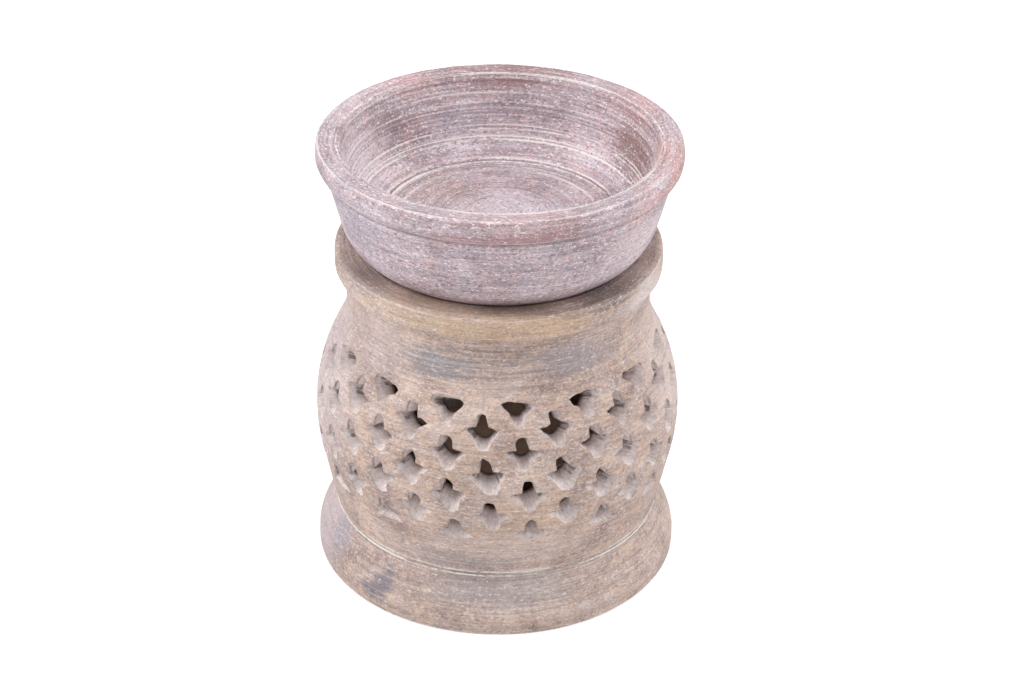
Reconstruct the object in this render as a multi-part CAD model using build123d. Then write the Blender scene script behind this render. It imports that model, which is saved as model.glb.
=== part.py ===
from build123d import *
from math import atan2, cos, pi, radians, sin, sqrt, tan
import os

os.makedirs("parts", exist_ok=True)

# Carved soapstone burner for scented oil. A hollow lattice body is cemented onto a
# turned plinth, a loose oil bowl rests in its mouth, and a tealight stands inside.
# Millimetres and degrees, +Z up, origin at the middle of the plinth's underside. Every
# piece is turned: its outline is drawn as (radius, height) and revolved about Z.

# One overrun for all cuts
overrun = 2.0

# Lattice body: a hollow ball that runs down into a straight taper and up into a neck.
# The tealight has to pass its mouth, and the neck and the ball stand out from the mouth.
tealight_passage = 6.04
neck_wall = 7.51
ball_overhang = 7.4
ball_height = 22.1
foot_taper = 11.8
wall = 5.75
neck_curve = 17.8
neck_flare_height = 6.4

# Rim bead round the body's mouth; its top face falls in to a narrow cone for the bowl
rim_height = 5.6
rim_overhang = 0.7
rim_bulge = 0.75
rim_fall = 0.4
seat_angle = 22.4
seat_half_width = 2.0

# Lattice: seven staggered rows of four-lobed holes, all cut towards the ball's centre.
# Rows and columns are angles on the ball, and the gaps are the stone left between holes.
# Each hole narrows inwards, and its floor rises on the way in.
holes_per_row = 15
row_count = 7
row_angle = 7.15
lattice_rise_angle = 6.95
row_twist = 0.75
lattice_turn = 9.4
column_gap = 0.66
row_gap = 1.38
hole_floor_rise = 0.9
hole_inner_share = 0.6

# Plinth: a solid disc, upright at the foot, rounding in to a short collar
plinth_height = 13.0
plinth_step = 4.15
plinth_edge_height = 2.0
plinth_curve = 9.4
plinth_lean = 32.0

# Cement bed between plinth and body, drawn in a little from the edge of the stone
cement_thickness = 0.5
cement_inset = 0.25

# Oil bowl: a thick turned dish with a beaded lip, its inside parallel to its outside
bowl_height = 26.0
bowl_corner_radius = 11.0
bowl_lean = 15.0
bowl_wall = 4.4
bowl_floor_thickness = 8.0
bowl_inner_corner = 10.0
bowl_seat_clearance = 0.1
lip_height = 6.6
lip_overhang = 2.1
lip_crown_height = 1.9
lip_top_inset = 1.05
lip_fall = 0.6
lip_groove_width = 0.8
lip_groove_depth = 0.35

# Tealight: a thin drawn cup, the wax, the wick and the clip that holds the wick up
cup_radius = 19.0
cup_height = 13.0
cup_wall = 0.3
cup_lip = 0.45
wax_clearance = 0.05
wax_fill = 10.0
wick_radius = 0.8
wick_length = 15.0
wick_clearance = 0.05
clip_radius = 6.5
clip_thickness = 0.3
clip_collar_wall = 0.5
clip_collar_height = 3.5

# Sizes that follow: the tealight sets the mouth, the mouth sets the neck and the bowl,
# the neck sets the ball, and the ball's foot sets the plinth
mouth_radius = cup_radius + cup_lip + tealight_passage
seat_lean = radians(seat_angle)
seat_radius = mouth_radius + seat_half_width
seat_edge_radius = seat_radius + seat_half_width
bowl_flat_radius = seat_radius - bowl_corner_radius * sin(seat_lean)
neck_radius = mouth_radius + neck_wall
ball_radius = neck_radius + ball_overhang
taper = radians(foot_taper)
foot_radius = ball_radius / cos(taper) - ball_height * tan(taper)
inner_foot_radius = foot_radius - wall / cos(taper)
plinth_radius = foot_radius + plinth_step

# Heights that follow, from the table up
body_z = plinth_height + cement_thickness
ball_z = body_z + ball_height
neck_rise = sqrt((ball_radius + neck_curve) ** 2 - (neck_radius + neck_curve) ** 2)
neck_z = ball_z + neck_rise
rim_low_z = neck_z + neck_flare_height
rim_z = rim_low_z + rim_height
seat_edge_z = rim_z - rim_fall
seat_z = seat_edge_z - seat_half_width * tan(seat_lean)
mouth_z = seat_z - seat_half_width * tan(seat_lean)
bowl_z = seat_z + bowl_seat_clearance - bowl_corner_radius * (1 - cos(seat_lean))
bowl_top_z = bowl_z + bowl_height


def turned(*outline):
    """Revolve a closed outline, drawn as radius and height, about the Z axis."""
    return revolve(Plane.XZ * make_face(outline), Axis.Z)


def ball_point(radius, angle):
    """A point on a circle about the ball's centre, at an angle above its middle."""
    return Vector(radius * cos(angle), ball_z + radius * sin(angle))


# Plinth
plinth_in = radians(plinth_lean)
shoulder_low = Vector(plinth_radius, plinth_edge_height)
shoulder_high = shoulder_low + Vector(cos(plinth_in) - 1, sin(plinth_in)) * plinth_curve
collar_z = shoulder_high.Y + (shoulder_high.X - foot_radius) / tan(plinth_in)
plinth = turned(
    Polyline((0, 0), (plinth_radius, 0), shoulder_low),
    TangentArc(shoulder_low, shoulder_high, tangent=(0, 1)),
    Polyline(
        shoulder_high,
        (foot_radius, collar_z),
        (foot_radius, plinth_height),
        (0, plinth_height),
        (0, 0),
    ),
)

# Cement bed
cement_outer = foot_radius - cement_inset
cement_inner = inner_foot_radius + cement_inset
cement_joint = turned(
    Polyline(
        (cement_inner, plinth_height),
        (cement_outer, plinth_height),
        (cement_outer, body_z),
        (cement_inner, body_z),
        close=True,
    )
)

# Lattice body before carving: the ball's arc turns into the neck's arc at their tangent
neck_turn = atan2(neck_rise, neck_radius + neck_curve)
ball_top = ball_point(ball_radius, neck_turn)
rim_root_radius = neck_radius + neck_curve - sqrt(neck_curve ** 2 - neck_flare_height ** 2)
rim_root = Vector(rim_root_radius, rim_low_z)
rim_low = Vector(rim_root_radius + rim_overhang, rim_low_z)
rim_middle = Vector(rim_low.X + rim_bulge, rim_low_z + rim_height / 2)
rim_high = Vector(rim_low.X, rim_z)
inner_radius = ball_radius - wall
mouth_rise = sqrt(inner_radius ** 2 - mouth_radius ** 2)
mouth_turn = atan2(mouth_rise, mouth_radius)
foot_point = Vector(foot_radius, body_z)
inner_foot = Vector(inner_foot_radius, body_z)
body_blank = turned(
    Line(foot_point, ball_point(ball_radius, -taper)),
    ThreePointArc(
        ball_point(ball_radius, -taper),
        ball_point(ball_radius, 0),
        ball_top,
    ),
    TangentArc(ball_top, rim_root, tangent=(-sin(neck_turn), cos(neck_turn))),
    Line(rim_root, rim_low),
    ThreePointArc(rim_low, rim_middle, rim_high),
    Polyline(
        rim_high,
        (seat_edge_radius, seat_edge_z),
        (mouth_radius, mouth_z),
        ball_point(inner_radius, mouth_turn),
    ),
    ThreePointArc(
        ball_point(inner_radius, mouth_turn),
        ball_point(inner_radius, 0),
        ball_point(inner_radius, -taper),
    ),
    Polyline(ball_point(inner_radius, -taper), inner_foot, foot_point),
)

# Columns of one row are a step apart, and the rows between them stand half a step on
hole_step = 2 * pi / holes_per_row
row_step = radians(row_angle)
hole_width = ball_radius * hole_step / 2 - column_gap
hole_height = 2 * ball_radius * row_step - row_gap

# One hole's outline, as shares of its half width and half height: a narrow upper lobe,
# arms that run out to a point and a broad lower lobe. The top row has no upper lobe and
# the bottom row no lower one, so those holes end flat.
upper_lobe_shares = [(0.37, 0.16), (0.35, 0.78), (0, 1), (-0.35, 0.78), (-0.37, 0.16)]
arm_tip_shares = [(-1, 0.02), (1, 0.02)]
lower_lobe_shares = [(-0.46, -0.42), (0, -1), (0.46, -0.42)]
flat_top_shares = [(1, 0.3), (-1, 0.3)]
flat_bottom_shares = [(-1, -0.1), (-0.8, -0.3), (0.8, -0.3), (1, -0.1)]
bottom_row_shares = upper_lobe_shares + flat_bottom_shares
middle_row_shares = upper_lobe_shares + arm_tip_shares[:1] + lower_lobe_shares + arm_tip_shares[1:]
top_row_shares = flat_top_shares + lower_lobe_shares


def hole_points(shares, depth):
    """The hole's corners at a depth below the ball's surface, drawn in as it goes deeper."""
    way_in = depth / wall
    size = 1 - (1 - hole_inner_share) * way_in
    across = size * hole_width / 2
    up = size * hole_height / 2
    rise = hole_floor_rise * way_in
    return [Vector(x * across, y * up + rise, ball_radius - depth) for x, y in shares]


def hole_plug(shares):
    """A tapering plug with flat sides that reaches right through the wall."""
    outer = hole_points(shares, -overrun)
    inner = hole_points(shares, wall + overrun)
    rings = [outer, inner]
    rings += [[outer[i - 1], outer[i], inner[i], inner[i - 1]] for i in range(len(outer))]
    return Solid(Shell([Face(Wire.make_polygon(ring)) for ring in rings]))


bottom_plug = hole_plug(bottom_row_shares)
middle_plug = hole_plug(middle_row_shares)
top_plug = hole_plug(top_row_shares)
plugs = [bottom_plug] + [middle_plug] * (row_count - 2) + [top_plug]
cuts = []
for row, plug in enumerate(plugs):
    rows_up = row - (row_count - 1) / 2
    rise = radians(lattice_rise_angle) + rows_up * row_step
    row_turn = radians(lattice_turn - rows_up * row_twist) + hole_step * (row % 2) / 2
    for place in range(holes_per_row):
        turn = row_turn + hole_step * place
        across = (cos(turn), sin(turn), 0)
        outward = (cos(rise) * sin(turn), -cos(rise) * cos(turn), sin(rise))
        cuts.append(Plane((0, 0, ball_z), across, outward) * plug)
lattice_body = body_blank - cuts

# Oil bowl
lean = radians(bowl_lean)
corner_low = Vector(bowl_flat_radius, bowl_z)
corner_high = corner_low + Vector(cos(lean), 1 - sin(lean)) * bowl_corner_radius
lip_z = bowl_top_z - lip_height
lip_root = Vector(corner_high.X + (lip_z - corner_high.Y) * tan(lean), lip_z)
groove_root = lip_root + Vector(-lip_groove_depth, lip_groove_width / 2)
groove_top = lip_root + Vector(lip_groove_width * tan(lean), lip_groove_width)
lip_crown = Vector(lip_root.X + lip_overhang, bowl_top_z - lip_crown_height)
lip_top = Vector(lip_crown.X - lip_top_inset, bowl_top_z)
inner_z = bowl_top_z - lip_fall
inner_top = Vector(lip_root.X + (inner_z - lip_z) * tan(lean) - bowl_wall / cos(lean), inner_z)
floor_z = bowl_z + bowl_floor_thickness
inner_centre_z = floor_z + bowl_inner_corner
inner_run = (inner_z - inner_centre_z) * tan(lean)
inner_centre = Vector(inner_top.X - inner_run - bowl_inner_corner / cos(lean), inner_centre_z)
inner_high = inner_centre + Vector(cos(lean), -sin(lean)) * bowl_inner_corner
inner_low = inner_centre - Vector(0, bowl_inner_corner)
oil_bowl = turned(
    Line((0, bowl_z), corner_low),
    TangentArc(corner_low, corner_high, tangent=(1, 0)),
    Polyline(corner_high, lip_root, groove_root, groove_top),
    ThreePointArc(groove_top, lip_crown, lip_top),
    Polyline(lip_top, inner_top, inner_high),
    TangentArc(inner_low, inner_high, tangent=(1, 0)),
    Polyline(inner_low, (0, floor_z), (0, bowl_z)),
)

# Tealight cup with a lip round its edge, standing on the plinth
cup_z = plinth_height
cup_top = cup_z + cup_height
cup_inside = cup_radius - cup_wall
cup_floor = cup_z + cup_wall
tealight_cup = turned(
    Polyline(
        (0, cup_z),
        (cup_radius - cup_lip, cup_z),
        (cup_radius, cup_z + cup_lip),
        (cup_radius, cup_top - cup_lip),
        (cup_radius + cup_lip, cup_top - cup_lip),
        (cup_radius + cup_lip, cup_top),
        (cup_inside, cup_top),
        (cup_inside, cup_z + cup_lip),
        (cup_inside - cup_lip, cup_floor),
        (0, cup_floor),
        close=True,
    )
)

# Wick clip: a disc on the cup's floor with a collar that grips the wick
clip_top = cup_floor + clip_thickness
collar_top = clip_top + clip_collar_height
clip_bore = wick_radius + wick_clearance
collar_radius = clip_bore + clip_collar_wall
wick_clip = turned(
    Polyline(
        (clip_bore, cup_floor),
        (clip_radius, cup_floor),
        (clip_radius, clip_top),
        (collar_radius, clip_top),
        (collar_radius, collar_top),
        (clip_bore, collar_top),
        close=True,
    )
)
wick = Cylinder(wick_radius, wick_length, align=(Align.CENTER, Align.CENTER, Align.MIN))
tealight_wick = Pos(0, 0, cup_floor) * wick

# Wax, cast round the clip and the wick
wax_side = cup_inside - wax_clearance
wax_top = cup_z + wax_fill
disc_hole = clip_radius + wax_clearance
disc_roof = clip_top + wax_clearance
collar_hole = collar_radius + wax_clearance
tealight_wax = turned(
    Polyline(
        (disc_hole, cup_floor),
        (wax_side - cup_lip, cup_floor),
        (wax_side, cup_z + cup_lip),
        (wax_side, wax_top),
        (collar_hole, wax_top),
        (collar_hole, disc_roof),
        (disc_hole, disc_roof),
        close=True,
    )
)

pieces = {
    "plinth": plinth,
    "cement_joint": cement_joint,
    "lattice_body": lattice_body,
    "oil_bowl": oil_bowl,
    "tealight_cup": tealight_cup,
    "tealight_wax": tealight_wax,
    "wick_clip": wick_clip,
    "tealight_wick": tealight_wick,
}
for name, piece in pieces.items():
    export_step(piece, "parts/" + name + ".step")
    print(name, round(piece.volume), piece.bounding_box())
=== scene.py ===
import bmesh
import bpy
from math import atan2, ceil, cos, pi, radians, sin
from mathutils import Matrix, Vector, noise
from random import Random


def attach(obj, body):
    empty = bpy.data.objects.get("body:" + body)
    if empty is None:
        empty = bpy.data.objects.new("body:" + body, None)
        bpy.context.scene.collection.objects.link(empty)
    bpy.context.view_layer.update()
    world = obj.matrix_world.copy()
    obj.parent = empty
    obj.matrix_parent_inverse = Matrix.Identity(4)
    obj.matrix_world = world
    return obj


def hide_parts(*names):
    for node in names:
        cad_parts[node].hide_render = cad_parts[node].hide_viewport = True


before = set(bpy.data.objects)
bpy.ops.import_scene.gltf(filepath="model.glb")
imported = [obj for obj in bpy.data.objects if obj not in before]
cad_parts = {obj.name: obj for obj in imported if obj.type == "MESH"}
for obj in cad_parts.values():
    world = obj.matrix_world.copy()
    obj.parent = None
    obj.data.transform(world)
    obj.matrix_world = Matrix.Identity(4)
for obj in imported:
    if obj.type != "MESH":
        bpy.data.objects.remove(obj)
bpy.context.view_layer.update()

# Plinth. A disc of soapstone turned on a lathe: an upright edge at the foot, a shoulder that
# rounds in, and a short collar. The lathe leaves fine rings, and handling wears its corners
# soft and pale. The lattice body is cemented onto it.
mm = 0.001  # sizes are in millimetres, and Blender's unit is the metre
lathe_steps = 180
plinth_radius = 40.74
plinth_foot = 0.06
plinth_top = 12.95
collar_radius = 36.6
scored_line = 11.9
clearance = 0.05
plinth_outline = [
    # radius, height, rounding, wear of the corner (below zero it is painted dark), depth of the tool
    # marks after it
    (0, plinth_foot, 0, 0, 0),
    (plinth_radius - 0.02, plinth_foot, 0.45, 0.5, 0.02),
    (plinth_radius, 4.55, 2.5, 0, 0.03),
    (collar_radius, 11.4, 0.7, 0, 0.02),
    (collar_radius, scored_line - 0.15, 0, 0, 0),
    (collar_radius - 0.05, scored_line, 0, 0.7, 0),
    (collar_radius, scored_line + 0.15, 0, 0, 0),
    (collar_radius, plinth_top - 0.35, 0, 0, 0),
    (collar_radius, plinth_top, 0.2, 0.75, 0.02),
    (0, plinth_top, 0, 0, 0),
]


def rounded(corners, pitch):
    """An outline of corners in mm as a wire, rounded and divided into steps of a pitch."""
    segments_per_mm = 1.2
    wire = bmesh.new()
    wire.verts.layers.float.new("run")
    wear_and_shade = wire.verts.layers.float.new("wear_and_shade")
    mark = wire.verts.layers.float.new("mark")
    number = wire.verts.layers.int.new("number")
    spots = []
    for i, (radius, height, rounding, wear_and_shade_level, marked) in enumerate(corners):
        spot = wire.verts.new((0, -radius * mm, height * mm))
        spot[wear_and_shade] = wear_and_shade_level
        spot[mark] = marked
        spot[number] = i
        spots.append(spot)
    for pair in zip(spots, spots[1:]):
        wire.edges.new(pair)
    for i, corner in enumerate(corners):
        rounding = corner[2]
        if rounding:
            spot = next(spot for spot in wire.verts if spot[number] == i)
            bmesh.ops.bevel(
                wire, geom=[spot], offset=rounding * mm,
                segments=ceil(2 + rounding * segments_per_mm),
                affect="VERTICES", profile=0.5, material=-1,
            )
    for edge in wire.edges[:]:
        cuts = ceil(edge.calc_length() / (pitch * mm)) - 1
        if cuts > 0:
            ends = [spot[wear_and_shade] for spot in edge.verts]
            made = bmesh.ops.subdivide_edges(wire, edges=[edge], cuts=cuts)
            # A worn corner doesn't wear the whole side beside it
            if min(ends) < max(ends):
                for spot in made["geom_inner"]:
                    if isinstance(spot, bmesh.types.BMVert):
                        spot[wear_and_shade] = 0
    return wire


def tooled(wire, seed, run_start, run_sign):
    """Mark a wire as the lathe's tool does, from its first corner on. The marks come in groups;
    their ridges are painted pale, as wear and painted highlight, and their grooves dark, as dirt and
    painted shade. Run is the length along the wire, which the rings in the stone follow."""
    group_length = 3.1
    faintest, strongest = 0.35, 2.2
    ridge_wear_and_painted_light = 10
    run = wire.verts.layers.float["run"]
    wear_and_shade = wire.verts.layers.float["wear_and_shade"]
    mark = wire.verts.layers.float["mark"]
    number = wire.verts.layers.int["number"]
    chain = [next(spot for spot in wire.verts if spot[number] == 0)]
    while len(chain) < len(wire.verts):
        seen = chain[-2:]
        onward = [edge.other_vert(chain[-1]) for edge in chain[-1].link_edges]
        chain.append(next(spot for spot in onward if spot not in seen))
    tool = Random(seed)
    places = [spot.co.copy() for spot in chain]
    chain[0][run] = run_start
    for i, spot in enumerate(chain):
        if i:
            step = (places[i] - places[i - 1]).length / mm
            spot[run] = chain[i - 1][run] + step * run_sign
        if 0 < i < len(chain) - 1:
            along = places[i + 1] - places[i - 1]
            out = Vector((0, -along.z, along.y)).normalized()
            swell = abs(noise.noise(Vector((seed, 0, spot[run] / group_length))))
            ridge = tool.uniform(-1, 1) * spot[mark] * (faintest + strongest * swell)
            spot.co += out * ridge * mm
            # Ridges are painted pale and grooves dark: wear and dirt, and painted highlight and
            # shade
            spot[wear_and_shade] += ridge_wear_and_painted_light * ridge


def turned(corners, pitch, seed, steps=lathe_steps, run_start=0, run_sign=1):
    """A turned shape: the outline is rounded, marked by the tool and spun once round the axis."""
    stone = rounded(corners, pitch)
    tooled(stone, seed, run_start, run_sign)
    bmesh.ops.spin(
        stone, geom=stone.verts[:] + stone.edges[:], cent=(0, 0, 0), axis=(0, 0, 1),
        angle=2 * pi, steps=steps, use_merge=True, use_duplicate=False,
    )
    bmesh.ops.remove_doubles(stone, verts=stone.verts[:], dist=0.0001 * mm)
    bmesh.ops.recalc_face_normals(stone, faces=stone.faces[:])
    return stone


def weathered(stone, depth, size):
    """Move the surface in and out a little, as hand-finished stone is never quite true. The
    hollows have a depth and a size in mm."""
    stone.normal_update()
    moves = [spot.normal * noise.noise(spot.co / (size * mm)) * depth * mm for spot in stone.verts]
    for spot, move in zip(stone.verts, moves):
        spot.co += move


def placed(stone, name, material, body, node):
    """Hand a finished mesh to the frame in place of its CAD node."""
    mesh = bpy.data.meshes.new(name)
    stone.to_mesh(mesh)
    stone.free()
    mesh.shade_smooth()
    piece = bpy.data.objects.new(name, mesh)
    bpy.context.scene.collection.objects.link(piece)
    mesh.materials.append(material)
    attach(piece, body)
    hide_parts(node)


def linear(colour):
    """An sRGB hex colour as the linear colour that Blender's sockets hold."""
    parts = [int(colour[i:i + 2], 16) / 255 for i in (1, 3, 5)]
    return [c / 12.92 if c <= 0.04045 else ((c + 0.055) / 1.055) ** 2.4 for c in parts] + [1]


def add(tree, kind, inputs=(), **settings):
    """Add a node with its settings, and give each input a value or a link."""
    made = tree.nodes.new("ShaderNode" + kind)
    for name, value in settings.items():
        setattr(made, name, value)
    for socket, value in dict(inputs).items():
        if isinstance(value, bpy.types.NodeSocket):
            tree.links.new(value, made.inputs[socket])
        else:
            made.inputs[socket].default_value = value
    return made


def unfinished(name):
    """A new material, with what each finish starts from: its nodes, its shader and the place on
    the object."""
    material = bpy.data.materials.new(name)
    material.use_nodes = True
    tree = material.node_tree
    return material, tree, tree.nodes["Principled BSDF"], add(tree, "TexCoord").outputs["Object"]


def soapstone(
    name, tones, tints, lines, flecks, patches,
    dash=1.3, ringed=0.28, talc=0.5, relief=0.1, filed_ball=None,
):
    """Turned soapstone, rubbed matt and left unpolished. Clouds of colour from the rock, fine
    grain, rings where the tool went round, short dark and pale dashes of talc drawn out along
    the rings, pale dust on worn edges, and a dark colour in grooves and at the holes' upper edges
    and arms, which is partly painted shade.

    Tones run from dark to pale, tints are its warm and cool blotches, lines are its dark and
    pale rings, and flecks is the talc's colour. Patches are stains and, where noted, pale patches of
    painted light, as (colour, centre in mm, size in mm, strength, raggedness). Dash is the talc's
    length in mm, ringed and talc are how strongly the rings and the talc show, and relief is the
    depth of the grain in mm. A filed ball, as (height of its middle, radius) in mm, was filed
    towards its middle and smoked inside."""
    material, tree, shader, place = unfinished(name)
    run = add(tree, "Attribute", attribute_name="run").outputs["Fac"]
    wear_and_shade = add(tree, "Attribute", attribute_name="wear_and_shade").outputs["Fac"]
    height = add(tree, "CombineXYZ", {"Z": run}).outputs[0]

    def along_rings(length, width, seed):
        """Noise drawn out along the rings: a length round the piece and a width across, in mm."""
        flat = add(
            tree, "VectorMath", {0: place, 1: [1 / (length * mm)] * 2 + [0]},
            operation="MULTIPLY",
        ).outputs[0]
        across = add(
            tree, "VectorMath", {0: height, 1: [0, 0, 1 / width], 2: [seed, 0, 0]},
            operation="MULTIPLY_ADD",
        ).outputs[0]
        both = add(tree, "VectorMath", {0: flat, 1: across}, operation="ADD").outputs[0]
        return add(
            tree, "TexNoise", {"Vector": both, "Scale": 1, "Detail": 2, "Roughness": 0.6},
        ).outputs["Fac"]

    def summed(value, *patterns):
        """A value with patterns added to it, each by its own weight."""
        for pattern, weight in patterns:
            value = add(
                tree, "Math", {0: pattern, 1: weight, 2: value}, operation="MULTIPLY_ADD",
            ).outputs[0]
        return value

    def laid(under, over, pattern, start, full, low=0.0, high=1.0, within=None):
        """One colour laid over another where a pattern runs from start to full. The share that
        covers goes from low to high, and stays within another pattern where one is given."""
        share = add(
            tree, "MapRange",
            {"Value": pattern, "From Min": start, "From Max": full, "To Min": low, "To Max": high},
            interpolation_type="SMOOTHSTEP",
        ).outputs["Result"]
        if within is not None:
            share = add(tree, "Math", {0: share, 1: within}, operation="MULTIPLY").outputs[0]
        return add(tree, "Mix", {0: share, 6: under, 7: over}, data_type="RGBA").outputs[2]

    # In the rock: clouds about 13 mm wide, blotches of 3 mm and grain of 1.1 mm
    clouds, mottle, grain = [
        add(
            tree, "TexNoise",
            {"Vector": place, "Scale": 1 / (size * mm), "Detail": detail, "Roughness": crispness},
        ).outputs["Fac"]
        for size, detail, crispness in ((13, 4, 0.6), (3, 2, 0.65), (1.1, 3, 0.7))
    ]
    # Drawn out by the lathe's tool
    speck = along_rings(0.6, 0.34, seed=37)
    rings = along_rings(22, 0.6, seed=3)
    smears = along_rings(9, 1.6, seed=11)
    dashes = along_rings(dash, 0.45, seed=23)

    # The four tones follow the rock, each from its own level
    levels = (0.30, 0.38, 0.47, 0.58)
    rock = summed(-0.31, (clouds, 0.62), (smears, 0.22), (grain, 0.30), (speck, 0.34))
    ramp = add(tree, "ValToRGB", {"Fac": rock})
    stops = ramp.color_ramp.elements
    stops.remove(stops[1])
    stops[0].position = levels[0]
    for level in levels[1:]:
        stops.new(level)
    for stop, tone in zip(stops, tones):
        stop.color = linear(tone)
    warm, cool = tints
    colour = laid(ramp.outputs["Color"], linear(warm), mottle, 0.52, 0.66, high=0.4)
    colour = laid(colour, linear(cool), mottle, 0.48, 0.34, high=0.35)

    # A patch fades out from its middle, and its edge is ragged along the rings
    for patch_colour, centre, size, strength, ragged in patches:
        moved = [-c / s for c, s in zip(centre, size)]
        away = add(
            tree, "VectorMath", {0: place, 1: [1 / (s * mm) for s in size], 2: moved},
            operation="MULTIPLY_ADD",
        ).outputs[0]
        away = add(tree, "VectorMath", {0: away}, operation="LENGTH").outputs["Value"]
        away = summed(away, (smears, 2.2 * ragged), (rings, 1.6 * ragged), (grain, 1.2 * ragged))
        inner, outer = 0.3 + 2.5 * ragged, 1.1 + 2.5 * ragged
        colour = laid(colour, linear(patch_colour), away, inner, outer, low=strength, high=0.0)

    # Fine lines and talc, each from the level where it starts to the one where it is full
    dark_line, pale_line = lines
    for pattern, start, full, strength, line in (
        (rings, 0.48, 0.34, ringed, dark_line),
        (rings, 0.54, 0.68, ringed, pale_line),
        (dashes, 0.42, 0.32, talc, dark_line),
        (dashes, 0.62, 0.68, talc, flecks),
        (speck, 0.37, 0.32, talc, dark_line),
        (speck, 0.63, 0.68, talc, flecks),
    ):
        colour = laid(colour, linear(line), pattern, start, full, high=strength)
    rough = summed(rings, (grain, 0.5), (dashes, 0.6), (speck, 0.4))

    # Where it is cut, the file's strokes are pale and 0.45 mm wide, and the inside is smoked
    if filed_ball:
        middle, radius = filed_ball
        stroke_width = 0.45
        cut = add(tree, "Attribute", attribute_name="cut").outputs["Fac"]
        soot = add(tree, "Attribute", attribute_name="soot").outputs["Fac"]
        inward = add(
            tree, "VectorMath", {0: place, 1: [0, 0, -middle * mm]}, operation="ADD",
        ).outputs[0]
        inward = add(tree, "VectorMath", {0: inward}, operation="NORMALIZE").outputs[0]
        strokes = add(
            tree, "TexNoise", {"Vector": inward, "Scale": radius / stroke_width, "Detail": 2},
        ).outputs["Fac"]
        strokes = summed(strokes, (speck, 0.5))
        filed = laid(linear("#EEDFDE"), linear("#FFFAF9"), strokes, 0.6, 0.95)
        colour = laid(colour, filed, grain, 0.4, 0.6, low=0.7, high=0.95, within=cut)
        smoke = linear("#8C6655")
        colour = laid(colour, smoke, clouds, 0.3, 0.7, low=0.7, high=0.95, within=soot)
        scratched = add(tree, "Math", {0: strokes, 1: cut}, operation="MULTIPLY").outputs[0]
        rough = summed(rough, (scratched, 1.5))

    # Pale dust where the wear is above zero, and a dark colour where it is below: painted shade at
    # the holes' upper edges and arms, dirt and painted shade in the tool's grooves, and a dark line
    # in the groove under the bead and in the bowl's scored line. Both in patches
    patchy = add(
        tree, "MapRange",
        {
            "Value": summed(rings, (dashes, 0.6)), "From Min": 0.68, "From Max": 0.9,
            "To Min": 0.1, "To Max": 0.95,
        },
        interpolation_type="SMOOTHSTEP",
    ).outputs["Result"]
    colour = laid(colour, linear("#F2E9E5"), wear_and_shade, 0.2, 0.9, within=patchy)
    # This dark colour is painted shade at the holes' upper edges, in their arms and in the tool's
    # grooves
    colour = laid(colour, linear("#5E4D4B"), wear_and_shade, -0.2, -0.9, within=patchy)

    matt = add(
        tree, "MapRange",
        {"Value": grain, "From Min": 0.3, "From Max": 0.7, "To Min": 0.52, "To Max": 0.72},
        interpolation_type="SMOOTHSTEP",
    ).outputs["Result"]
    bump = add(tree, "Bump", {"Height": rough, "Distance": relief * mm, "Strength": 1}).outputs[0]
    tree.links.new(colour, shader.inputs["Base Color"])
    tree.links.new(matt, shader.inputs["Roughness"])
    tree.links.new(bump, shader.inputs["Normal"])
    shader.inputs["IOR"].default_value = 1.55
    return material


# Buff soapstone: a warm beige with pink in it, blue-grey stains at the left of the foot and a
# dark wedge of harder rock between them.
plinth_stone = soapstone(
    "plinth_soapstone_turned",
    tones=("#88726B", "#A8928A", "#BEA69C", "#D4C1B8"),
    tints=("#D6BBA8", "#B4A9AC"),
    lines=("#84706B", "#DCCCC5"),
    flecks="#EFE3DD",
    patches=[
        ("#BDAFB6", (-39, -8, 8), (11, 18, 14), 0.75, 0.25),
        ("#9D97A6", (-34.5, -16, 10), (4, 6, 6), 0.65, 0.25),
        ("#736E7B", (-23.2, -32.2, 9.5), (2.3, 4, 2.6), 0.9, 0.1),
        ("#736E7B", (-24.6, -31.8, 6.6), (3.5, 5, 2.8), 0.9, 0.1),
        ("#736E7B", (-27.0, -30.5, 4.2), (4.6, 6, 2.2), 0.9, 0.1),
        ("#989396", (2, -38, 10), (24, 9, 6), 0.6, 0.4),
        ("#9C97A2", (20, 34, 8), (12, 9, 5), 0.5, 0.4),
        ("#C9B09A", (-18, 36, 5), (14, 8, 4), 0.4, 0.5),
    ],
)
plinth = turned(plinth_outline, pitch=1.3, seed=1)
weathered(plinth, depth=0.05, size=4)
placed(plinth, "plinth_turned", plinth_stone, "burner", "plinth")

# Cement bed. A thin line of stone cement between plinth and body, painted greyer and darker than
# white cement as painted shade in the joint. It was pressed out level with the stone and wiped.
bed_inside = 31.1
bed_edge = collar_radius - 0.3
bed_bulge = 0.15
bed_foot = plinth_top + clearance
bed_top = bed_foot + 0.5
cement_outline = [
    (bed_inside, bed_foot, 0, 0, 0),
    (bed_edge, bed_foot, 0, 0, 0),
    (bed_edge + bed_bulge, bed_foot + 0.1, 0, 0, 0),
    (bed_edge + bed_bulge, bed_top - 0.1, 0, 0, 0),
    (bed_edge, bed_top, 0, 0, 0),
    (bed_inside, bed_top, 0, 0, 0),
    (bed_inside, bed_foot, 0, 0, 0),
]
cement = turned(cement_outline, pitch=1.5, seed=2)
weathered(cement, depth=0.03, size=1.2)
# Its tones are darker and greyer than white cement: painted shade in the joint
cement_with_painted_shade = soapstone(
    "stone_cement_wiped_painted_shade",
    tones=("#7E726E", "#9A8F8A", "#B4AAA5", "#D3CBC7"),
    tints=("#C8BDB6", "#A49D9B"),
    lines=("#857A76", "#D9D2CE"),
    flecks="#E6E0DC",
    patches=[],
)
placed(cement, "cement_bed", cement_with_painted_shade, "burner", "cement_joint")

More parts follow.
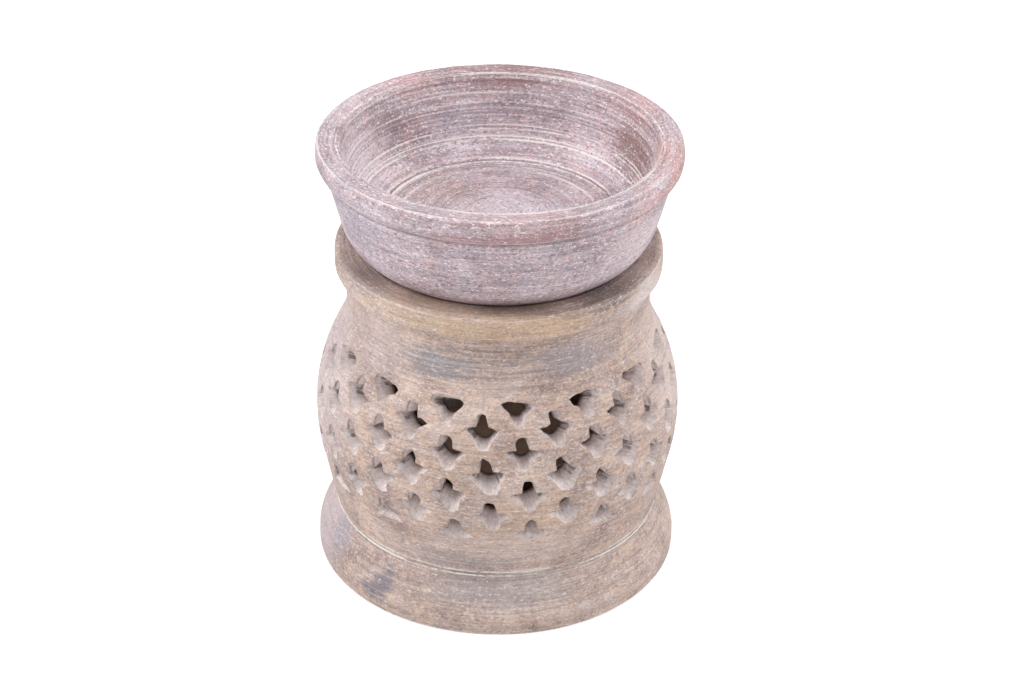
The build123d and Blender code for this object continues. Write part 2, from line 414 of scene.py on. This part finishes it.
# Lattice body. A soapstone ball, turned outside and bored out, with a bead round its mouth.
# Seven staggered rows of four-lobed holes are drilled and filed by hand towards the middle,
# so no two are quite alike and their edges are chipped and dusty.
ball_radius = 40.4
ball_height = 35.6
ball_middle = Vector((0, ball_height))
wall = 5.75
foot_taper = radians(11.8)
neck_turn = radians(29.22)
neck_curve = 17.8
rows = 7
holes_per_row = 15
row_pitch = ball_radius * radians(7.15)
row_twist = radians(0.75)
half_column = ball_radius * pi / holes_per_row
lattice_middle = ball_radius * radians(6.95)
lattice_turn = radians(9.4)
band_margin = 1.2
band_top = (rows + 1) / 2 * row_pitch + band_margin
band_foot = -band_top
side_steps = 10
band_steps = 2 * holes_per_row * side_steps
weld = 0.002 * mm
# Each corner of half a hole has a place at the hole's mouth, and one in the round core that
# was drilled first, as (across, up) in mm. The lobes are filed out from the core.
upper_lobe = [
    ((0, 4.2), (0, 3.7)), ((1.1, 3.75), (0.9, 3.35)), ((1.5, 2.75), (1.25, 2.5)),
    ((1.42, 1.2), (1.5, 1.6)), ((2.6, 0.95), (2.2, 1.2)),
]
flat_top = [
    ((0, 1.3), (0, 1.2)), ((1.0, 1.45), (0.8, 1.25)), ((2.0, 1.4), (1.6, 1.2)),
    ((3.2, 1.3), (2.3, 1.0)), ((4.05, 0.9), (2.75, 0.6)),
]
lower_lobe = [
    ((4.25, 0.45), (3.0, 0.6)), ((3.5, -0.55), (2.7, -0.2)), ((2.3, -1.3), (2.1, -0.9)),
    ((1.9, -2.6), (1.4, -1.5)), ((1.2, -3.8), (0.7, -1.85)), ((0, -4.2), (0, -2.0)),
]
flat_bottom = [
    ((3.8, -0.75), (2.7, 0.4)), ((3.1, -1.35), (2.3, -0.1)), ((2.1, -1.5), (1.7, -0.4)),
    ((1.3, -1.45), (1.1, -0.5)), ((0.6, -1.55), (0.5, -0.5)), ((0, -1.4), (0, -0.5)),
]
carving = [
    # way back to the diamond, way in to the core, depth in mm, wear (the upper edge gets it as
    # painted shade), and how freshly it is cut
    (0.66, -0.03, 0, 0, 0),
    (0.33, -0.03, 0, 0, 0),
    (0, -0.03, 0, 0, 0),
    (0, 0, 0.06, 0.4, 0.2),
    (0, 0.03, 0.3, 0.7, 0.6),
    (0, 0.14, 0.9, 0.2, 1),
    (0, 0.4, 1.9, 0, 1),
    (0, 0.66, 3.2, 0, 1),
    (0, 0.86, 4.5, 0, 1),
    (0, 1.0, wall, 0, 0.8),
    (0.5, 1.0, wall, 0, 0),
    (1, 1.0, wall, 0, 0),
]
# How far the carver's hand strays, in mm, and the least and most of a hole's own measures
hole_stray = 0.22
core_stray = 0.3
corner_stray = 0.22
core_corner_stray = 0.12
stroke_stray = 0.07
hole_widths = (0.93, 1.05)
hole_heights = (0.93, 1.03)
lobe_widths = (0.72, 1.12)
lobe_start = -1
hole_turns = (-7, 7)
mouth_softness = 0.16
core_softness = 0.4
# A hole is worn along its lower edge, up to a little above its middle, and above that its edge is
# painted dark by the same amount as painted shade. Below its edge, the points of its arms are
# painted dark as painted shade, and soot rises steeply towards the inside.
worn_up_to = 0.3
edge_depth = 0.5
arm_reach = 2.3
arm_depth = 1
arm_painted_shade = -0.7
soot_rise = 5
carver = Random(11)
lattice = bmesh.new()
run = lattice.verts.layers.float.new("run")
wear_and_shade = lattice.verts.layers.float.new("wear_and_shade")
cut = lattice.verts.layers.float.new("cut")
soot = lattice.verts.layers.float.new("soot")
cell = lattice.verts.layers.int.new("cell")
step = lattice.verts.layers.int.new("step")


def slip(reach):
    """A small step any way, as a hand tool strays."""
    return Vector((carver.uniform(-reach, reach), carver.uniform(-reach, reach)))


def halved(points, softness):
    """Put a point half way along each side of a closed outline, and soften its corners."""
    doubled = []
    for here, onward in zip(points, points[1:] + points[:1]):
        doubled += [here, (here + onward) / 2]
    around = zip(doubled[-1:] + doubled[:-1], doubled, doubled[1:] + doubled[:1])
    return [here.lerp((back + onward) / 2, softness) for back, here, onward in around]


# The lattice is laid out flat. Each hole sits in a diamond of its own, and the diamonds fill
# the band: across is x, up is z, and the depth into the wall is y.
cells = []
for row in range(rows):
    top_half = flat_top if row == rows - 1 else upper_lobe
    bottom_half = flat_bottom if row == 0 else lower_lobe
    half = top_half + bottom_half
    other = [((-x, z), (-core_x, core_z)) for (x, z), (core_x, core_z) in reversed(half[1:-1])]
    outline = half + other
    for column in range(holes_per_row):
        middle = Vector(((2 * column + row % 2) * half_column, (row - rows // 2) * row_pitch))
        tips = ((0, row_pitch), (half_column, 0), (0, -row_pitch), (-half_column, 0))
        corners = [Vector(tip) for tip in tips]
        diamond = [
            middle + here.lerp(onward, n / side_steps)
            for here, onward in zip(corners, corners[1:] + corners[:1]) for n in range(side_steps)
        ]
        size = Vector((carver.uniform(*hole_widths), carver.uniform(*hole_heights)))
        lobe = carver.uniform(*lobe_widths)
        turn = Matrix.Rotation(radians(carver.uniform(*hole_turns)), 2)
        start = middle + slip(hole_stray)
        end = start + slip(core_stray)
        filed = [Vector((x * lobe if z < lobe_start else x, z)) for (x, z), deep in outline]
        mouth = [start + turn @ (at + slip(corner_stray)) * size for at in filed]
        core = [end + turn @ (Vector(deep) + slip(core_corner_stray)) for at, deep in outline]
        cells.append((middle, diamond, halved(mouth, mouth_softness), halved(core, core_softness)))
        spots = [lattice.verts.new((at.x, 0, at.y)) for at in diamond]
        for n, spot in enumerate(spots):
            spot[cell] = len(cells) - 1
            spot[step] = n
        for pair in zip(spots, spots[1:] + spots[:1]):
            lattice.edges.new(pair)

# From the diamonds' edges each hole is drawn in, carved through the wall and opened inside
band = lattice.edges[:]
for back, way_in, depth, wear_and_shade_level, fresh in carving:
    made = bmesh.ops.extrude_edge_only(lattice, edges=band)["geom"]
    spots = {part for part in made if isinstance(part, bmesh.types.BMVert)}
    band = [
        part for part in made
        if isinstance(part, bmesh.types.BMEdge) and spots.issuperset(part.verts)
    ]
    for spot in sorted(spots, key=lambda spot: (spot[cell], spot[step])):
        middle, *outlines = cells[spot[cell]]
        diamond, mouth, core = [places[spot[step]] for places in outlines]
        at = mouth.lerp(core, way_in)
        if edge_depth < depth < wall:
            at += slip(stroke_stray)
        at = at.lerp(diamond, back)
        spot.co = (at.x, depth, at.y)
        # Lower edges are worn pale; upper edges are painted dark by the same amount, as painted
        # shade
        spot[wear_and_shade] = wear_and_shade_level if mouth.y < middle.y + worn_up_to else -wear_and_shade_level
        # The points of the arms are painted dark below the edge, as painted shade
        if depth > arm_depth and abs(mouth.x - middle.x) > arm_reach:
            spot[wear_and_shade] = arm_painted_shade
        spot[cut] = fresh
        spot[soot] = (depth / wall) ** soot_rise

# The flat lattice is bent into a tube, closed, and given a straight edge above and below
for spot in lattice.verts:
    angle = spot.co.x / ball_radius
    radius = ball_radius - spot.co.y
    spot.co = Vector((radius * sin(angle), -radius * cos(angle), spot.co.z)) * mm
bmesh.ops.remove_doubles(lattice, verts=lattice.verts[:], dist=weld)
ragged = [edge for edge in lattice.edges if edge.is_boundary]
middle_wall = (ball_radius - wall / 2) * mm
spans = []
for height in (band_top, band_foot):
    for radius in (ball_radius, ball_radius - wall):
        straight = bmesh.ops.create_circle(
            lattice, radius=radius * mm, segments=band_steps,
            matrix=Matrix.Translation((0, 0, height * mm)),
        )["verts"]
        for spot in straight:
            spot[soot] = radius < ball_radius
        straight_edges = list({edge for spot in straight for edge in spot.link_edges})
        facing = [
            edge for edge in ragged
            if (edge.verts[0].co.z > 0) == (height > 0)
            and (edge.verts[0].co.xy.length > middle_wall) == (radius == ball_radius)
        ]
        spans += bmesh.ops.bridge_loops(lattice, edges=straight_edges + facing)["edges"]
bmesh.ops.subdivide_edges(lattice, edges=spans, cuts=3, use_grid_fill=True)


def wall_at(height):
    """The wall at a length above the ball's middle: the outside and the bored inside, each
    as (radius, height) in mm. A taper runs down from the ball, and the neck flares above it."""
    lean = max(height / ball_radius, -foot_taper)
    out = Vector((cos(lean), sin(lean)))
    if lean < neck_turn:
        down = max(0, -height - ball_radius * foot_taper)
        outside = ball_middle + out * ball_radius
        outside -= Vector((sin(foot_taper), cos(foot_taper))) * down
        return outside, outside - out * wall
    bend = neck_turn - (height - ball_radius * neck_turn) / neck_curve
    reach = Vector((cos(neck_turn), sin(neck_turn))) * (ball_radius + neck_curve)
    outside = ball_middle + reach - Vector((cos(bend), sin(bend))) * neck_curve
    inside = ball_middle + (outside - ball_middle).normalized() * (ball_radius - wall)
    return outside, inside


def turn_at(height):
    """How far the lattice is turned at a height above its middle row."""
    return lattice_turn - row_twist * height / row_pitch


# The tube takes the body's shape
for spot in lattice.verts:
    height = spot.co.z / mm
    angle = atan2(spot.co.x, -spot.co.y) + turn_at(height)
    depth = (ball_radius - spot.co.xy.length / mm) / wall
    outside, inside = wall_at(lattice_middle + height)
    radius, up = outside.lerp(inside, depth) * mm
    spot.co = (radius * sin(angle), -radius * cos(angle), up)
    spot[run] = lattice_middle + height

# The neck, the bead, the seat for the bowl and the bore close it above, the foot below
top_outside, top_inside = wall_at(lattice_middle + band_top)
foot_outside, foot_inside = wall_at(lattice_middle + band_foot)
mouth_radius = 25.53
body_foot = bed_top + clearance
rim_outline = [
    (*top_outside, 0, 0, 0.02),
    (32.36, 65.62, 5.0, 0, 0.03),  # the neck's waist
    (34.15, 70.35, 0.3, -0.6, 0.03),  # the groove under the bead
    (35.3, 70.55, 0.7, 0.1, 0.03),  # the bead
    (35.64, 73.2, 1.6, 0, 0.04),
    (35.2, 75.95, 0.8, 0.05, 0.06),
    (29.49, 75.66, 0.5, 0.1, 0.02),  # the seat
    (mouth_radius, 73.99, 0.6, 0.2, 0.02),  # the bore
    (mouth_radius, 59.0, 0.4, 0, 0.04),
    (*top_inside, 0, 0, 0),
]
foot_outline = [
    (*foot_outside, 0, 0, 0.02),
    (36.64, body_foot, 0.22, 1.0, 0.02),
    (30.85, body_foot, 0.3, 0, 0.02),
    (*foot_inside, 0, 0, 0),
]
smoked_radius = 31.2
smoked_height = 73
ends = ((rim_outline, band_top, 1), (foot_outline, band_foot, -1))
for corners, height, sign in ends:
    ring = turned(
        corners, pitch=1.1, seed=3, steps=band_steps,
        run_start=lattice_middle + height, run_sign=sign,
    )
    bmesh.ops.rotate(ring, verts=ring.verts[:], matrix=Matrix.Rotation(turn_at(height), 3, "Z"))
    sooted = ring.verts.layers.float.new("soot")
    for spot in ring.verts:
        inside = spot.co.xy.length < smoked_radius * mm
        spot[sooted] = inside and spot.co.z < smoked_height * mm
    joined = bpy.data.meshes.new("joined")
    ring.to_mesh(joined)
    ring.free()
    lattice.from_mesh(joined)
    bpy.data.meshes.remove(joined)
bmesh.ops.remove_doubles(lattice, verts=lattice.verts[:], dist=weld)
bmesh.ops.recalc_face_normals(lattice, faces=lattice.faces[:])
weathered(lattice, depth=0.05, size=3)

# The same buff stone. Blue-grey bands cross the neck and the foot, iron stains the bead ochre
# in front, and soot and oil have darkened the top of the bead.
body_stone = soapstone(
    "body_soapstone_turned_and_carved",
    tones=("#8A746D", "#AB948B", "#C2A99E", "#D9C6BC"),
    tints=("#DBB99E", "#B4A9AC"),
    lines=("#84706C", "#DECFC8"),
    flecks="#F1E6E0",
    patches=[
        # The pale patches on the belly's left and right flanks are painted light from the sides
        ("#CBBCBF", (-37, -6, 46), (13, 26, 26), 0.65, 0.2),
        ("#DCC9C4", (38, -4, 50), (12, 22, 24), 0.65, 0.2),
        ("#858791", (-12, -31, 63), (12, 9, 4.5), 0.75, 0.5),
        ("#9A949C", (16, -29, 64), (18, 10, 5), 0.6, 0.5),
        # This pale patch on the neck's left is painted light
        ("#D2BFBF", (-26, -22, 62), (10, 12, 9), 0.45, 0.3),
        ("#D2B08C", (4, -36, 73.5), (26, 12, 4.6), 0.55, 0.5),
        # This pale patch on the right of the rim is painted light
        ("#E0D2D2", (31, -16, 72), (10, 13, 5), 0.7, 0.3),
        ("#CBB095", (-17, -31, 74.5), (15, 12, 4.2), 0.45, 0.5),
        ("#D0B196", (10, -39, 30), (15, 8, 9), 0.35, 0.5),
        ("#D2B79E", (-8, -39, 45), (9, 8, 12), 0.3, 0.5),
        ("#D8C4BD", (5, -38, 21), (22, 10, 6), 0.4, 0.4),
        ("#5B504E", (22, -23, 76.4), (13, 11, 3), 0.75, 0.35),
        ("#5B504E", (4, -30.5, 76.4), (16, 4, 2.6), 0.65, 0.35),
        ("#7A6E70", (-27, -17, 76.4), (9, 13, 2.8), 0.55, 0.35),
        ("#9C9497", (-9, -37, 17), (20, 8, 3.4), 0.55, 0.45),
        ("#8F8B93", (12, 32, 62), (16, 9, 5), 0.5, 0.5),
        ("#C8A988", (-12, 35, 72), (14, 10, 5), 0.45, 0.5),
        ("#D2C3C2", (-16, 36, 38), (15, 10, 16), 0.5, 0.4),
        ("#C4AC93", (18, 35, 28), (13, 9, 9), 0.4, 0.5),
    ],
    filed_ball=(ball_height, ball_radius),
)
placed(lattice, "lattice_carved", body_stone, "burner", "lattice_body")

# Tealight cup. Thin aluminium foil drawn over a punch, its edge rolled outwards. It stands
# loose on the plinth and is put in through the body's mouth.
tealight_steps = 128
cup_radius = 18.95
cup_base = plinth_top + 0.07
cup_top = 25.98
cup_inside = 18.72
cup_floor = cup_base + 0.28
rolled_edge = 19.42
cup_outline = [
    (0, cup_base, 0, 0, 0),
    (cup_radius, cup_base, 0.5, 0, 0),
    (cup_radius, 25.5, 0.15, 0, 0),
    (rolled_edge, 25.55, 0.15, 0, 0),
    (rolled_edge, cup_top, 0.2, 0, 0),
    (cup_inside, cup_top, 0.12, 0, 0),
    (cup_inside, cup_floor, 0.45, 0, 0),
    (0, cup_floor, 0, 0, 0),
]
cup = turned(cup_outline, pitch=1.5, seed=5, steps=tealight_steps)
cup_foil, tree, shader, place = unfinished("aluminium_foil_drawn")
# Drawing leaves upright scratches about 0.4 mm apart and 11 mm long, and dents of 4 mm
scratch_gap = 0.4 * mm
scratch_length = 11.1 * mm
dent_size = 4 * mm
upright = add(
    tree, "VectorMath", {0: place, 1: (1 / scratch_gap, 1 / scratch_gap, 1 / scratch_length)},
    operation="MULTIPLY",
).outputs[0]
scratches = add(tree, "TexNoise", {"Vector": upright, "Scale": 1, "Detail": 2}).outputs["Fac"]
dents = add(tree, "TexNoise", {"Vector": place, "Scale": 1 / dent_size, "Detail": 1}).outputs["Fac"]
tone = add(tree, "MapRange", {"Value": scratches, "To Min": 0.62, "To Max": 0.88}).outputs["Result"]
gloss = add(tree, "MapRange", {"Value": scratches, "To Min": 0.24, "To Max": 0.42}).outputs["Result"]
dented = add(tree, "Bump", {"Height": dents, "Distance": 0.3 * mm, "Strength": 0.4}).outputs[0]
scratched = add(
    tree, "Bump", {"Height": scratches, "Distance": 0.03 * mm, "Normal": dented},
).outputs[0]
shader.inputs["Metallic"].default_value = 1
tree.links.new(tone, shader.inputs["Base Color"])
tree.links.new(gloss, shader.inputs["Roughness"])
tree.links.new(scratched, shader.inputs["Normal"])
placed(cup, "tealight_cup_drawn", cup_foil, "tealight", "tealight_cup")

# Wick clip. A stamped tinplate disc on the cup's floor, whose collar grips the wick. The CAD
# solid has its shape, so it keeps its mesh and gets the metal's finish.
clip_tin, tree, shader, place = unfinished("tinplate_stamped")
# Rolled tin has a fine grain one way, about 0.3 mm wide and 3.3 mm long
grain_width = 0.3 * mm
grain_length = 3.3 * mm
rolled = add(
    tree, "VectorMath", {0: place, 1: (1 / grain_width, 1 / grain_length, 1 / grain_width)},
    operation="MULTIPLY",
).outputs[0]
grain = add(tree, "TexNoise", {"Vector": rolled, "Scale": 1, "Detail": 2}).outputs["Fac"]
tone = add(tree, "MapRange", {"Value": grain, "To Min": 0.45, "To Max": 0.66}).outputs["Result"]
gloss = add(tree, "MapRange", {"Value": grain, "To Min": 0.3, "To Max": 0.5}).outputs["Result"]
rolled_bump = add(tree, "Bump", {"Height": grain, "Distance": 0.02 * mm}).outputs[0]
shader.inputs["Metallic"].default_value = 1
tree.links.new(tone, shader.inputs["Base Color"])
tree.links.new(gloss, shader.inputs["Roughness"])
tree.links.new(rolled_bump, shader.inputs["Normal"])
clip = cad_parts["wick_clip"]
clip.data.materials.clear()
clip.data.materials.append(clip_tin)

# Wick. Cotton braided from three strands and stiffened with wax, cut off square. It stands
# in the clip's collar and up through the wax.
wick_radius = 0.78
wick_foot = cup_floor + 0.02
wick_length = 14.9
wick_turns = 2
wick_steps = 30
wick_sides = 18
strands = 3
strand_relief = 0.12
wick = bmesh.new()
section = bmesh.ops.create_circle(wick, radius=wick_radius * mm, segments=wick_sides)["verts"]
for spot in section:
    angle = atan2(spot.co.y, spot.co.x)
    spot.co *= 1 - strand_relief + strand_relief * cos(strands * angle)
bmesh.ops.translate(wick, verts=section, vec=(0, 0, wick_foot * mm))
bmesh.ops.spin(
    wick, geom=wick.verts[:] + wick.edges[:], cent=(0, 0, 0), axis=(0, 0, 1),
    dvec=(0, 0, wick_length / wick_steps * mm), angle=wick_turns * 2 * pi,
    steps=wick_steps, use_merge=False, use_duplicate=False,
)
bmesh.ops.holes_fill(wick, edges=[edge for edge in wick.edges if edge.is_boundary], sides=0)
bmesh.ops.recalc_face_normals(wick, faces=wick.faces[:])
wick_cotton, tree, shader, place = unfinished("cotton_braided_and_waxed")
# Threads about 0.25 mm thick, and a little grey where the wax has dried
thread_size = 0.25 * mm
threads = add(
    tree, "TexNoise", {"Vector": place, "Scale": 1 / thread_size, "Detail": 2},
).outputs["Fac"]
ramp = add(tree, "ValToRGB", {"Fac": threads})
for stop, level, tone in zip(ramp.color_ramp.elements, (0.35, 0.65), ("#BDB29A", "#EDE6D6")):
    stop.position = level
    stop.color = linear(tone)
thread_bump = add(tree, "Bump", {"Height": threads, "Distance": 0.1 * mm}).outputs[0]
shader.inputs["Roughness"].default_value = 0.7
tree.links.new(ramp.outputs["Color"], shader.inputs["Base Color"])
tree.links.new(thread_bump, shader.inputs["Normal"])
placed(wick, "tealight_wick_braided", wick_cotton, "tealight", "tealight_wick")

# Wax. Buff beeswax poured round the wick and the clip: it sinks a little as it sets, and
# climbs the wick and the foil in a thin skin.
wax_radius = 18.64
wax_foot = cup_floor + 0.02
wax_level = 22.5
wax_skin = 22.98
disc_hollow = 6.56
disc_roof = 13.66
collar_hollow = 1.42
wick_hollow = wick_radius + clearance
wax_outline = [
    (disc_hollow, wax_foot, 0, 0, 0),
    (18.2, wax_foot, 0.4, 0, 0),
    (wax_radius, 13.8, 0.2, 0, 0),
    (wax_radius, wax_skin, 0.1, 0, 0),
    (17.6, 22.72, 0.6, 0, 0.01),
    (10, wax_level, 3, 0, 0.01),
    (3, 22.62, 1, 0, 0.01),
    (1.1, 22.72, 0.2, 0, 0),
    (wick_hollow, wax_skin, 0, 0, 0),
    (wick_hollow, 17.3, 0, 0, 0),
    (collar_hollow, 17.2, 0, 0, 0),
    (collar_hollow, disc_roof, 0, 0, 0),
    (disc_hollow, disc_roof, 0, 0, 0),
    (disc_hollow, wax_foot, 0, 0, 0),
]
wax = turned(wax_outline, pitch=1.2, seed=6, steps=tealight_steps)
beeswax, tree, shader, place = unfinished("beeswax_poured")
# Frosting in patches about 5 mm wide, and pores of half a millimetre
frost_size = 5 * mm
pore_size = 0.5 * mm
frost = add(tree, "TexNoise", {"Vector": place, "Scale": 1 / frost_size, "Detail": 3}).outputs["Fac"]
pores = add(tree, "TexNoise", {"Vector": place, "Scale": 1 / pore_size, "Detail": 1}).outputs["Fac"]
ramp = add(tree, "ValToRGB", {"Fac": frost})
for stop, level, tone in zip(ramp.color_ramp.elements, (0.35, 0.65), ("#C6A288", "#D9BBA2")):
    stop.position = level
    stop.color = linear(tone)
gloss = add(tree, "MapRange", {"Value": frost, "To Min": 0.3, "To Max": 0.5}).outputs["Result"]
pore_bump = add(tree, "Bump", {"Height": pores, "Distance": 0.05 * mm, "Strength": 0.5}).outputs[0]
shader.inputs["Subsurface Weight"].default_value = 0.2
shader.inputs["Subsurface Scale"].default_value = 3 * mm
shader.inputs["IOR"].default_value = 1.43
tree.links.new(ramp.outputs["Color"], shader.inputs["Base Color"])
tree.links.new(gloss, shader.inputs["Roughness"])
tree.links.new(pore_bump, shader.inputs["Normal"])
placed(wax, "tealight_wax_poured", beeswax, "tealight", "tealight_wax")

# Oil bowl. A thick dish of mauve soapstone, turned inside and out. A scored line runs under
# its beaded lip, and the tool's rings show inside. It rests loose in the body's mouth.
bowl_foot = 74.05
bowl_floor = 82.06
bowl_outline = [
    (0, bowl_foot, 0, 0, 0.02),
    (31.72, bowl_foot, 8.44, 0, 0.03),
    (36.8, 93.2, 0.15, 0.3, 0),  # the scored line
    (36.3, 93.65, 0, -1.0, 0),
    (37.2, 94.15, 0.3, 0.45, 0.03),
    (37.95, 94.85, 0, -0.5, 0.02),
    (38.75, 95.75, 1.0, 0, 0.05),  # the lip
    (39.08, 98.2, 1.3, 0, 0.05),
    (38.5, 99.98, 0.9, 0.1, 0.05),
    (34.7, 99.51, 0, 0, 0.03),
    (33.95, 99.42, 0.2, 0.4, 0.16),  # down the inside
    (32.1, 92.5, 0, 0, 0.12),
    (30.9, 88.0, 0, 0, 0.1),
    (29.33, bowl_floor, 7.0, 0, 0.11),
    (0, bowl_floor, 0, 0, 0),
]
bowl_stone = soapstone(
    "bowl_soapstone_turned",
    tones=("#937E84", "#AD9AA1", "#C2B0B8", "#DACCD3"),
    tints=("#DBB3B3", "#AAA4B3"),
    lines=("#7C6667", "#E8DEE3"),
    flecks="#F8F2F4",
    patches=[
        ("#C98C82", (37, -9, 97), (8, 19, 5), 0.6, 0.3),
        ("#826059", (28, 10, 92), (9, 17, 8), 0.75, 0.4),
        ("#E0CDD1", (29, -20, 86), (11, 13, 8), 0.6, 0.3),
        ("#D8A9A8", (30, -24, 95.5), (6, 6, 6), 0.5, 0.3),
        ("#AA7475", (5, -38, 95.6), (24, 6, 2.2), 0.6, 0.4),
        ("#CFA6A3", (8, -37, 98.5), (22, 7, 2.6), 0.35, 0.5),
        ("#B97F7D", (-22, 31, 98.5), (10, 8, 3), 0.55, 0.3),
        ("#8E6869", (6, 37, 98.5), (26, 7, 4), 0.8, 0.35),
        ("#BC8E8D", (31, 20, 98.5), (9, 14, 4), 0.5, 0.35),
        # This pale patch on the bowl's left flank is painted light from the side
        ("#E6DAE0", (-30, 3, 90), (12, 19, 8), 0.85, 0.3),
        ("#D9CDD6", (5, -3, 82), (19, 16, 3), 0.55, 0.35),
        ("#BBA293", (-13, 10, 84), (12, 12, 4), 0.4, 0.4),
        ("#A9A3B4", (-30, -18, 90), (13, 16, 12), 0.45, 0.3),
        ("#A9A4B3", (-6, 26, 90), (14, 9, 5), 0.45, 0.4),
    ],
    dash=1.0, ringed=0.3, talc=0.8, relief=0.13,
)
bowl = turned(bowl_outline, pitch=0.4, seed=8, steps=200)
weathered(bowl, depth=0.06, size=4)
placed(bowl, "oil_bowl_turned", bowl_stone, "bowl", "oil_bowl")

# Stage. A white card under the piece, which keeps its soft shadow, in a pale room. Large soft
# lamps stand on each side, overhead and, weaker, in front, as in a small white photo tent.
card_reach = 3
card_glow = 0.42
room_light = 0.4
floor_mesh = bmesh.new()
bmesh.ops.create_grid(floor_mesh, x_segments=1, y_segments=1, size=card_reach)
card, tree, shader, place = unfinished("white_card")
# Paper fibres of 2 mm, hardly seen. Only the camera sees the glow, which makes the card white
fibre_size = 2 * mm
fibre = add(tree, "TexNoise", {"Vector": place, "Scale": 1 / fibre_size, "Detail": 1}).outputs["Fac"]
shade = add(tree, "MapRange", {"Value": fibre, "To Min": 0.80, "To Max": 0.82}).outputs["Result"]
shader.inputs["Roughness"].default_value = 1
shader.inputs["Specular IOR Level"].default_value = 0
tree.links.new(shade, shader.inputs["Base Color"])
seen = add(tree, "LightPath").outputs["Is Camera Ray"]
lift = add(tree, "Math", {0: seen, 1: card_glow}, operation="MULTIPLY").outputs[0]
glow = add(tree, "Emission", {"Strength": lift}).outputs[0]
lit = add(tree, "AddShader", {0: shader.outputs[0], 1: glow}).outputs[0]
tree.links.new(lit, tree.nodes["Material Output"].inputs["Surface"])
floor_data = bpy.data.meshes.new("studio_floor")
floor_mesh.to_mesh(floor_data)
floor_mesh.free()
floor = bpy.data.objects.new("studio_floor", floor_data)
bpy.context.scene.collection.objects.link(floor)
floor_data.materials.append(card)

room = bpy.data.worlds.new("studio_room")
bpy.context.scene.world = room
room.use_nodes = True
tree = room.node_tree
walls = tree.nodes["Background"]
path = add(tree, "LightPath").outputs
direct = add(
    tree, "Math", {0: path["Is Camera Ray"], 1: path["Is Glossy Ray"]}, operation="MAXIMUM",
).outputs[0]
level = add(tree, "MapRange", {"Value": direct, "To Min": room_light, "To Max": 1.0})
tree.links.new(level.outputs["Result"], walls.inputs["Strength"])
walls.inputs["Color"].default_value = (1, 1, 1, 1)

lamps = [
    # name, place and size in metres, power in watts
    ("left_lamp", (-0.75, -0.15, 0.5), 0.7, 5.0),
    ("right_lamp", (0.75, -0.1, 0.45), 0.7, 3.8),
    ("top_lamp", (0.0, 0.1, 0.95), 0.7, 3.2),
    ("front_lamp", (-0.15, -0.8, 0.6), 0.5, 1.2),
]
lit_point = Vector((0, 0, 0.05))
for name, place, size, power in lamps:
    light = bpy.data.lights.new(name, "AREA")
    light.size = size
    light.energy = power
    lamp = bpy.data.objects.new(name, light)
    lamp.location = place
    lamp.rotation_euler = (Vector(place) - lit_point).to_track_quat("Z", "Y").to_euler()
    bpy.context.scene.collection.objects.link(lamp)

# Camera. It looks down on the burner by 30.6 degrees from half a metre, as in the photograph,
# and aims a little to the right of the burner's middle.
camera_tilt = radians(30.591)
camera_roll = radians(0.846)
camera_distance = 0.5
focal_length = 79.39
sensor_width = 36
aim = Vector((3.108, 0, 50.12)) * mm
back_axis = Vector((0, -cos(camera_tilt), sin(camera_tilt)))
level_up = Vector((0, sin(camera_tilt), cos(camera_tilt)))
right_axis = Vector((1, 0, 0)) * cos(camera_roll) + level_up * sin(camera_roll)
up_axis = back_axis.cross(right_axis)
lens = bpy.data.cameras.new("camera")
lens.sensor_width = sensor_width
lens.lens = focal_length
lens.clip_start = 0.01
camera = bpy.data.objects.new("camera", lens)
view = Matrix((right_axis, up_axis, back_axis)).transposed().to_4x4()
camera.matrix_world = Matrix.Translation(aim + back_axis * camera_distance) @ view
bpy.context.scene.collection.objects.link(camera)
bpy.context.scene.camera = camera
bpy.context.scene.view_settings.view_transform = "Standard"
